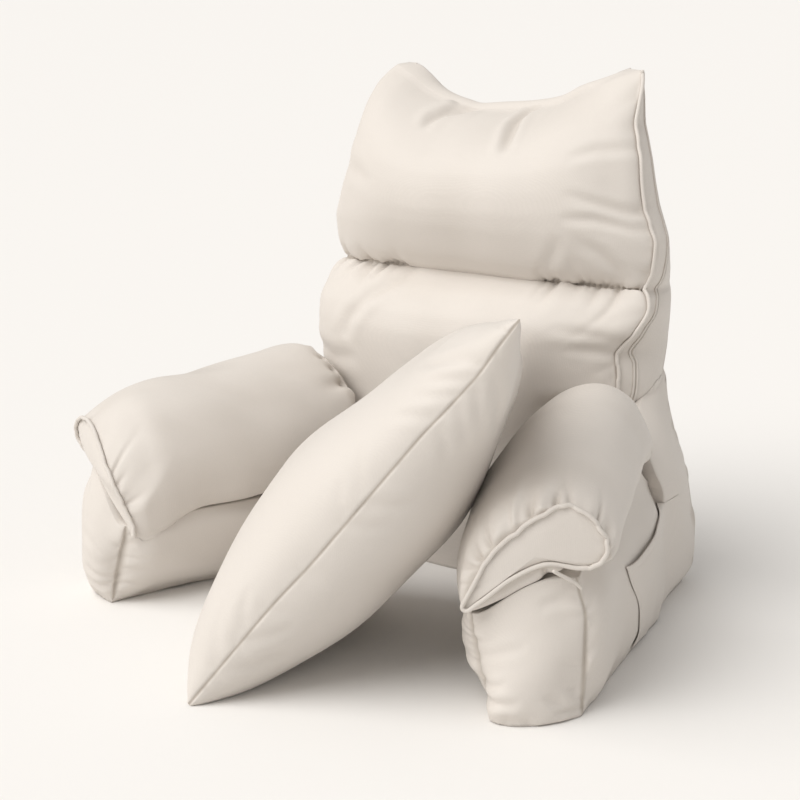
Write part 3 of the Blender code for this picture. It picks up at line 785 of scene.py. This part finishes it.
def make_wedge(back):
    us = edge_rows(104, WEDGE_ACROSS, 1.4)
    faces, u, v, w = box_grid(us, np.linspace(0, 1, 78), np.linspace(0, 1, 25))
    points = wedge_point(u, v, w)
    rear = w == 1
    flank = (abs(u) == 1) & ~rear
    height, drop, across = v * WAIST, (1 - v) * WAIST, u * WEDGE_ACROSS
    off = (1 - abs(u)) * WEDGE_ACROSS
    seam = np.where(u > 0, puckers("wedge", height, off, 0, WAIST),
                    puckers("wedge", height, off, 0, WAIST, turn=1))
    seam += puckers("wedge_top", across, drop, -WEDGE_ACROSS, WEDGE_ACROSS)
    seam += puckers("wedge_foot", across, height, -WEDGE_ACROSS, WEDGE_ACROSS) * ease(0, 0.01, off)
    push = np.where(rear, seam + 0.0035 * swell(points, 0.15, 25) * ease(0, 0.03, off), 0)
    push += np.where(flank, puckers("wedge_flank", height, (1 - w) * 0.12, 0, WAIST), 0)
    points = settle(push_out(points, faces, push), (back,))
    # Painted shade along the rear panel's side and top seams
    drawn = 0.6 * rear * (bell(off, 0, 0.0013) + bell(drop, 0, 0.0015))
    obj = add_mesh("wedge_cover", points, faces, BODY_CLOTH, drawn)
    return finish_piece(obj, ["back_wedge"])


# Arms

def arm_line(side, across, along):
    """Floor plan of an arm: across 0 at its inner edge, 1 at its outer edge."""
    inner = lerp(np.array([0.300, 0.000]), np.array([0.168, ARM_END]), np.asarray(along)[..., None])
    outer = lerp(np.array([0.396, 0.053]), np.array([0.320, ARM_END]), np.asarray(along)[..., None])
    plan = lerp(inner, outer, np.asarray(across)[..., None])
    return np.concatenate([side * plan[..., :1], plan[..., 1:]], axis=-1)


def arm_block_point(side, u, v, w):
    """Arm block: u from its inner to its outer side, v up, w from its front to its rear."""
    across = (u + 1) / 2
    x, y = arm_line(side, across, w).T
    fade = 0.1 + 0.9 * ease(0, 0.35, 1 - w)
    rise = np.sqrt(1 - (1 - np.minimum(w / 0.14, 1)) ** 2) * fade
    quick = np.sqrt(1 - (1 - np.minimum(w / 0.08, 1)) ** 2) * fade
    tuck = (1 - ease(0, 0.26, v)) ** 2
    x = x + side * (1 - across) * curve(BLOCK_FRONT, 1, v)
    x = x - side * across * (0.012 * ease(0.7, 1.0, v) + 0.010 * ease(0.7, 1.0, v) * ease(0.6, 1.0, w))
    x = x - np.where(u == -1, side * 0.034 * np.sin(np.pi * (0.04 + 0.86 * v)) * quick, 0)
    x = x + side * 0.010 * tuck * np.maximum(-u, 0) ** 3 * quick
    x = x + np.where(u == 1, side * 0.018 * np.sin(np.pi * (0.06 + 0.92 * v)) * rise, 0)
    x = x - side * (0.006 * rise + (0.010 if side < 0 else 0)) * tuck * np.maximum(u, 0) ** 3
    crown = curve(BLOCK_FRONT, 2 if side > 0 else 3, v)
    y = y - np.where(w == 0, crown * np.maximum(1 - u * u, 0) ** 0.8, 0)
    shoulder = (0.030 + 0.012 * ease(0.5, 0.8, w)) * ease(0.45, 1.0, across) * ease(0.0, 0.22, w)
    shoulder = shoulder * (1 - 0.7 * ease(0.80, 1.0, w))
    shoulder = shoulder + (0.014 if side < 0 else 0) * ease(0.1, 0.4, across) * (1 - ease(0.0, 0.5, w))
    z = (0.122 + 0.050 * ease(0.0, 0.9, across) + shoulder) * v + 0.004 * (1 - u * u) * v
    z = z - 0.008 * v ** 2 * (1 - ease(0.0, 0.07, w))
    return np.column_stack([x, y, z])


def make_block(name, side, cad, others):
    ws = crowded(0, 1, 0.0125, near=(0.0,), fine=0.003, reach=0.03)
    faces, u, v, w = box_grid(edge_rows(46, BLOCK_ACROSS, 1.3), np.linspace(0, 1, 56), ws)
    points = arm_block_point(side, u, v, w)
    front = w == 0
    flank = (abs(u) == 1) & ~front
    across, height, run = (u + 1) * BLOCK_ACROSS, v * BLOCK_TALL, w * BLOCK_LONG
    seam_off = np.where(front, (1 - abs(u)) * BLOCK_ACROSS, run)
    face = crease_field(across, height, BLOCK_CREASES)
    face += puckers("block", height, seam_off, 0, BLOCK_TALL, turn=side)
    face += puckers("block_foot", across, height, 0, 2 * BLOCK_ACROSS, turn=side)
    sides = puckers("flank", height, run, 0, BLOCK_TALL, turn=side)
    sides += puckers("flank_foot", run, height, 0, BLOCK_LONG, turn=side)
    push = np.where(front, 1.6 * face, np.where(flank, sides, 0)) - 0.0012 * bell(seam_off, 0, 0.0009)
    push += 0.0016 * swell(points, 0.09, 52 + side) * ease(0, 0.02, seam_off)
    points = settle(push_out(points, faces, push), others)
    # Painted shade beside the front's seams
    obj = add_mesh(name, points, faces, BODY_CLOTH, (front | flank) * bell(seam_off, 0, 0.0010))
    return finish_piece(obj, [cad])


def closed_curve(rows, count):
    """Evenly numbered points on a smooth closed curve through a table's rows."""
    rows = np.array(rows)
    size = len(rows)
    out = []
    for n in range(count):
        place = n * size / count
        i = int(place)
        t = place - i
        a, b, c, d = (rows[(i + k) % size] for k in (-1, 0, 1, 2))
        out.append(0.5 * (2 * b + (c - a) * t + (2 * a - 5 * b + 4 * c - d) * t * t
                          + (3 * b - a - 3 * c + d) * t ** 3))
    return np.array(out)


def roll_ring(side, along, section, loop):
    """One section of an arm roll, at a share of its length. Its front rounds in to the welted edge."""
    rows = ROLL_ROWS if side > 0 else LEFT_ROLL_ROWS
    tip, top, inward, outward = (curve(rows, column, along) for column in (1, 2, 3, 4))
    length = (ROLL_END + 0.012) / (ARM_END + 0.012)
    inner = arm_line(1, 0.0, along * length - 0.03 * (1 - along))
    outer = arm_line(1, 1.0, along * length - 0.03 * (1 - along))
    out = outer - inner
    width = np.linalg.norm(out)
    out = out / width
    reach = -inward + section[:, 0] * (width + inward + outward)
    high = tip + (top - tip) * section[:, 1]
    upper = ease(0.25, 0.6, section[:, 1])
    if side > 0:
        curl = 1 - np.sqrt(1 - (1 - np.minimum(along / lerp(0.022, 0.085, upper), 1)) ** 2)
    else:
        curl = (1 - np.minimum(along / lerp(0.06, 0.24, upper), 1)) ** lerp(2.0, 2.8, upper)
    reach = lerp(reach, loop[:, 0], curl)
    ring = np.zeros((len(section), 3))
    ring[:, :2] = inner + reach[:, None] * out
    ring[:, 0] *= side
    ring[:, 2] = lerp(high, loop[:, 1] if side > 0 else loop[:, 2], curl)
    if side < 0:
        tipward = 1 - np.clip((loop[:, 0] + 0.024) / 0.159, 0, 1)
        ring += np.outer(tipward ** 0.8, LEFT_LOOP_SHIFT) * (1 - ease(0, 0.36, along))
        share = np.arange(len(ring)) / len(ring)
        lean = 0.012 * bell(share, 0.79, 0.13) - 0.014 * bell(share, 0.24, 0.13)
        ring[:, 1] += lean * (1 - ease(0, 0.12, along))
    return ring


def make_roll(name, side, cad, others, count=240):
    hand = "right" if side > 0 else "left"
    section, loop = closed_curve(ROLL_SECTION, count), closed_curve(ROLL_LOOP, count)
    stations = crowded(0.0, 1.0, 0.0125, near=(0.0, 1.0), fine=0.003, reach=0.12)
    rings = [roll_ring(side, s, section, loop) for s in stations]
    inward = [0.0] * len(rings)
    for end, order, crown in ((0, -1, 0.006 if side > 0 else 0.016), (-1, 1, 0.016)):
        base = rings[end]
        centre = base.mean(axis=0)
        for share in np.cos(np.linspace(0.0, np.pi / 2, 26))[1:-1]:
            bulge = np.array([0.0, crown * order, 0.0]) * (1 - share ** 2)
            ring = centre + (base - centre) * share + bulge
            rings.insert(0, ring) if end == 0 else rings.append(ring)
            inward.insert(0, -(1 - share)) if end == 0 else inward.append(1 - share)
    rows = len(rings)
    inward = np.array(inward)
    body = inward == 0
    along = np.zeros(rows)
    along[body] = stations
    along[inward > 0] = 1.0
    points = np.concatenate(rings)
    faces = ring_quads(rows, count)

    round_it = np.tile(np.arange(count) / count * ROLL_GIRTH, rows)
    run = np.repeat(along, count) * ROLL_LONG
    lid = np.repeat(abs(inward), count) * ROLL_LID
    from_end = np.where(np.repeat(along < 0.5, count), run, ROLL_LONG - run)
    shown = np.repeat(body, count)
    upper = np.tile(ease(0.12, 0.45, section[:, 1]), rows)
    gathers = upper * puckers("roll_" + hand, round_it, run, 0.0, ROLL_GIRTH, lean=0.4)
    gathers += puckers("roll_rear_" + hand, round_it, ROLL_LONG - run, 0.0, ROLL_GIRTH, lean=0.4)
    lids = puckers("roll_lid", round_it, lid, 0.0, ROLL_GIRTH, turn=3 * side)
    push = np.where(shown, gathers, lids)
    push += 0.0018 * swell(points, 0.10, 64 + side * 3) * ease(0, 0.02, from_end)
    points = push_out(points, faces, push)
    faces = faces.tolist()
    for ring in (0, rows - 1):
        points = np.vstack([points, points[ring * count:(ring + 1) * count].mean(axis=0)])
        faces += ring_cap(ring, count, len(points) - 1)
    points = settle(points, others)
    # Painted shade at the welted ends and in the valleys of the gathers
    drawn = 0.6 * bell(from_end + lid, 0, 0.0016) + 0.45 * shown * np.clip(-push / 0.005, 0, 1)
    obj = add_mesh(name, points, faces, BODY_CLOTH, np.append(drawn, [0, 0]))
    return finish_piece(obj, [cad])


def make_roll_welt(name, side, cad, roll, block, count=260):
    section, loop = closed_curve(ROLL_SECTION, count), closed_curve(ROLL_LOOP, count)
    ring = roll_ring(side, 0.0, section, loop)
    outward = roll_ring(side, 0.02, section, loop) - ring
    outward /= np.linalg.norm(outward, axis=1)[:, None]
    across = np.cross(np.roll(ring, -3, axis=0) - np.roll(ring, 3, axis=0), outward)
    across /= np.linalg.norm(across, axis=1)[:, None]
    across *= np.sign(across[:, 1:2]) * -1
    inward = ring.mean(axis=0) - ring
    inward /= np.linalg.norm(inward, axis=1)[:, None]
    share = np.arange(count) / count
    kinks = WELT_KINK * sum(part * bell(share, place, width) for place, width, part in WELT_KINKS)
    path = ring + across * WELT * 0.8 + inward * kinks[:, None] + ORIGIN_SHIFT
    path = clear_of(path, roll, WELT + WELT_GAP)
    path = clear_of(path, block, WELT + WELT_GAP)
    for _ in range(6):
        path = (np.roll(path, 1, axis=0) + 2 * path + np.roll(path, -1, axis=0)) / 4
    points, faces = tube(np.vstack([path, path[:1]]), WELT)
    obj = add_mesh(name, points, faces, WELT_CLOTH)
    return finish_piece(obj, [cad])


# Pocket and tie

def outer_skin(y, z, trees):
    """Outermost x of the right side at a place seen from outside."""
    reach = []
    for tree in trees:
        spot, _, _, _ = tree.ray_cast(Vector((0.6, y, max(z, 0.004))), Vector((-1, 0, 0)))
        if spot is not None:
            reach.append(spot.x)
    return max(reach, default=0.0)


def taut(skin, rounds=60):
    """Cloth stretched over a grid of heights: as smooth as it can be without going below them."""
    out = skin.copy()
    for _ in range(rounds):
        inner = (out[:-2, 1:-1] + out[2:, 1:-1] + out[1:-1, :-2] + out[1:-1, 2:]) / 4
        out[1:-1, 1:-1] = np.maximum(inner, skin[1:-1, 1:-1])
    return out


def make_pocket(block, wedge):
    trees = (tree_of(block), tree_of(wedge))
    us, vs = edge_rows(84, POCKET_LONG / 2), edge_rows(60, POCKET_TALL / 2)
    faces, u, v, w = box_grid(us, vs, (0.0, 1.0))
    t = (u + 1) / 2
    v = (v + 1) / 2
    y = lerp(curve(POCKET_FRONT, 1, v * 0.142), POCKET_REAR, t)
    z = 0.004 + (curve(POCKET_MOUTH, 1, y) - 0.004) * v
    gape = curve(POCKET_MOUTH, 2, y) * v ** 8
    y += ORIGIN_SHIFT[1]
    around = [(dy, dz) for dy in (-0.003, 0, 0.003) for dz in (-0.002, 0, 0.002)]
    x = np.array([max(outer_skin(b + dy, c + dz, trees) for dy, dz in around) for b, c in zip(y, z)])
    x = taut(x.reshape(len(us), len(vs), 2)).ravel()
    top, front = (1 - v) * POCKET_TALL, t * POCKET_SPAN
    hem = 0.0007 * bell(top, 0.006, 0.004) - 0.0005 * bell(top, 0.012, 0.0012)
    body = (POCKET_THICK - 0.0004) * (1 - ease(0.60, 0.85, t)) + 0.0004
    x += 0.0003 + gape + (body + hem * (1 - ease(0.6, 0.75, t)) - 0.0013 * bell(front, 0, 0.005)) * w
    # Painted shade along the pocket's front seam and its hem
    drawn = 0.25 * bell(front, 0, 0.0010) + 0.3 * bell(top, 0, 0.001) * (1 - ease(0.6, 0.75, t))
    obj = add_mesh("pocket_right_cloth", np.column_stack([x, y, z]), faces, BODY_CLOTH, drawn)
    return finish_piece(obj, ["pocket_right"])


def make_tie(block, welt):
    path = smooth_path(np.array(TIE_ROUTE) + ORIGIN_SHIFT, 0.002)
    path = clear_of(path, block, TIE_RADIUS + WELT_GAP)
    path = clear_of(path, welt, TIE_RADIUS + WELT_GAP)
    points, faces = tube(path, TIE_RADIUS)
    obj = add_mesh("tie_right_cord", points, faces, WELT_CLOTH)
    return finish_piece(obj, ["tie_right"])


# Loose cushion

def cushion_axes():
    """Near floor corner, direction up its near edge, along the floor, and its normal."""
    corner = np.array(CUSHION_FOOT)
    up = np.array(CUSHION_TIP) - corner
    up /= np.linalg.norm(up)
    along = np.array(CUSHION_HEADING)
    along /= np.linalg.norm(along)
    return corner, up, along, np.cross(up, along)


def knife_rows(count, power):
    """Parameters from -1 to 1, crowded against the seams at both ends."""
    t = np.linspace(-1, 1, count + 1)
    return np.sign(t) * (1 - (1 - abs(t)) ** power)


def make_cushion(others):
    corner, up, along, normal = cushion_axes()
    faces, u, v, w = box_grid(knife_rows(180, 2.3), knife_rows(150, 2.3), (-1.0, 1.0))
    fill = (np.maximum(1 - u ** 4, 0) * np.maximum(1 - v ** 4, 0)) ** 0.5
    up_share = (1 + u) / 2
    crown = np.maximum(1 - u * u, 0) ** lerp(0.42, 0.66, ease(0, 0.8, u)) * np.maximum(1 - v * v, 0) ** 0.42
    under = 0.24 * ease(0.45, 1.0, up_share)
    over = 0.25 * ease(0.38, 0.70, up_share) - 0.09 * ease(0.72, 1.0, up_share)
    thick = CUSHION_HALF_THICK * (0.25 * fill + 0.75 * crown) * (1 - np.where(w < 0, under, over))
    away_u = np.hypot((1 - abs(u)) * CUSHION_EDGE / 2, thick)
    away_v = np.hypot((1 - abs(v)) * CUSHION_WIDTH / 2, thick)
    away = np.minimum(away_u, away_v)
    draw_u = np.where(u > 0, 0.030, 0.004) * (1 - v * v) * u + 0.0012 * bell(away_u, 0, 0.0016) * np.sign(u)
    draw_v = 0.024 * (1 - u * u) * v + 0.0012 * bell(away_v, 0, 0.0016) * np.sign(v)
    a = CUSHION_EDGE / 2 * (1 + u) - draw_u - CUSHION_SAG * up_share ** 1.5 * ((1 + v) / 2) ** 1.3
    b = CUSHION_WIDTH / 2 * (1 + v) - draw_v
    points = corner + np.outer(a, up) + np.outer(b, along) + np.outer((thick + SEAM_HALF) * w, normal)
    points -= np.outer(curve(SEAM_BOW, 1, up_share) * ((1 - v) / 2) ** 3, normal)
    place_u, place_v = (u + 1) * CUSHION_EDGE / 2, (v + 1) * CUSHION_WIDTH / 2
    push = crease_field(place_u, np.where(v < 0, away_v, place_v), CUSHION_CREASES)
    for kind, run, far, off, long in (("cushion_edge", place_u, v > 0, away_v, CUSHION_EDGE),
                                      ("cushion_foot", place_v, u > 0, away_u, CUSHION_WIDTH)):
        for side in (-1, 1):
            for end in (False, True):
                draws = puckers(kind, run, off, 0, long, turn=side + 3 * end, lean=0.6)
                push += np.where((w == side) & (far == end), draws, 0)
    push += 0.0026 * swell(points, 0.15, 99) * ease(0, 0.05, away)
    points = push_out(points, faces, push)
    points[:, 2] = np.maximum(points[:, 2], 0)
    points = settle(points, others)
    # Painted shade along the knife-edge seams and in the valleys of the creases
    drawn = bell(away, 0, 0.0010) + 0.2 * np.clip(-push / 0.005, 0, 1)
    obj = add_mesh("loose_cushion_cover", points, faces, BODY_CLOTH, drawn)
    return finish_piece(obj, ["loose_cushion"])


# Stage

def make_stage():
    """Wide pale floor that runs to the horizon."""
    mat = bpy.data.materials.new("pale_floor")
    mat.use_nodes = True
    shader = mat.node_tree.nodes["Principled BSDF"]
    shader.inputs["Base Color"].default_value = FLOOR_COLOUR
    shader.inputs["Roughness"].default_value = 0.9
    shader.inputs["Specular IOR Level"].default_value = 0.1
    turns = np.linspace(0, 2 * math.pi, 65)[:-1]
    ring = [(FLOOR_REACH * math.cos(a), FLOOR_REACH * math.sin(a), -FLOOR_GAP) for a in turns]
    mesh = bpy.data.meshes.new("floor")
    mesh.from_pydata(ring, [], [list(range(len(ring)))])
    mesh.materials.append(mat)
    add_object("floor", mesh)


def make_light():
    world = bpy.data.worlds.new("studio")
    world.use_nodes = True
    ground = world.node_tree.nodes["Background"]
    ground.inputs["Color"].default_value = WORLD_COLOUR
    ground.inputs["Strength"].default_value = WORLD_STRENGTH
    bpy.context.scene.world = world
    data = bpy.data.lights.new("key", "SUN")
    data.angle = KEY_SPREAD
    data.energy = KEY_STRENGTH
    data.color = KEY_COLOUR
    light = add_object("key", data)
    light.rotation_euler = Vector(KEY_HEADING).to_track_quat("-Z", "Y").to_euler()
    bpy.context.scene.view_settings.view_transform = "Standard"


def make_camera():
    data = bpy.data.cameras.new("camera")
    data.lens = CAMERA_LENS
    data.sensor_width = CAMERA_SENSOR
    data.clip_end = CAMERA_CLIP
    camera = add_object("camera", data)
    camera.location = CAMERA_PLACE
    camera.rotation_euler = (math.radians(90 - CAMERA_PITCH), 0, math.radians(CAMERA_TURN))
    bpy.context.scene.camera = camera


make_camera()
make_stage()
make_light()
back_cover = make_back()
make_back_welt("back_welt_left_cord", -1, back_cover, "back_welt_left")
make_back_welt("back_welt_right_cord", 1, back_cover, "back_welt_right")
make_placket(back_cover)
wedge_cover = make_wedge(back_cover)
arms = []
for hand, sign in (("left", -1), ("right", 1)):
    block = make_block("arm_block_cover_" + hand, sign, "arm_block_" + hand, (back_cover, wedge_cover))
    roll = make_roll("arm_roll_cover_" + hand, sign, "arm_roll_" + hand, (back_cover, wedge_cover, block))
    welt = make_roll_welt("roll_welt_cord_" + hand, sign, "roll_welt_" + hand, roll, block)
    arms += [block, roll]
make_pocket(block, wedge_cover)
make_tie(block, welt)
make_cushion([back_cover] + arms)
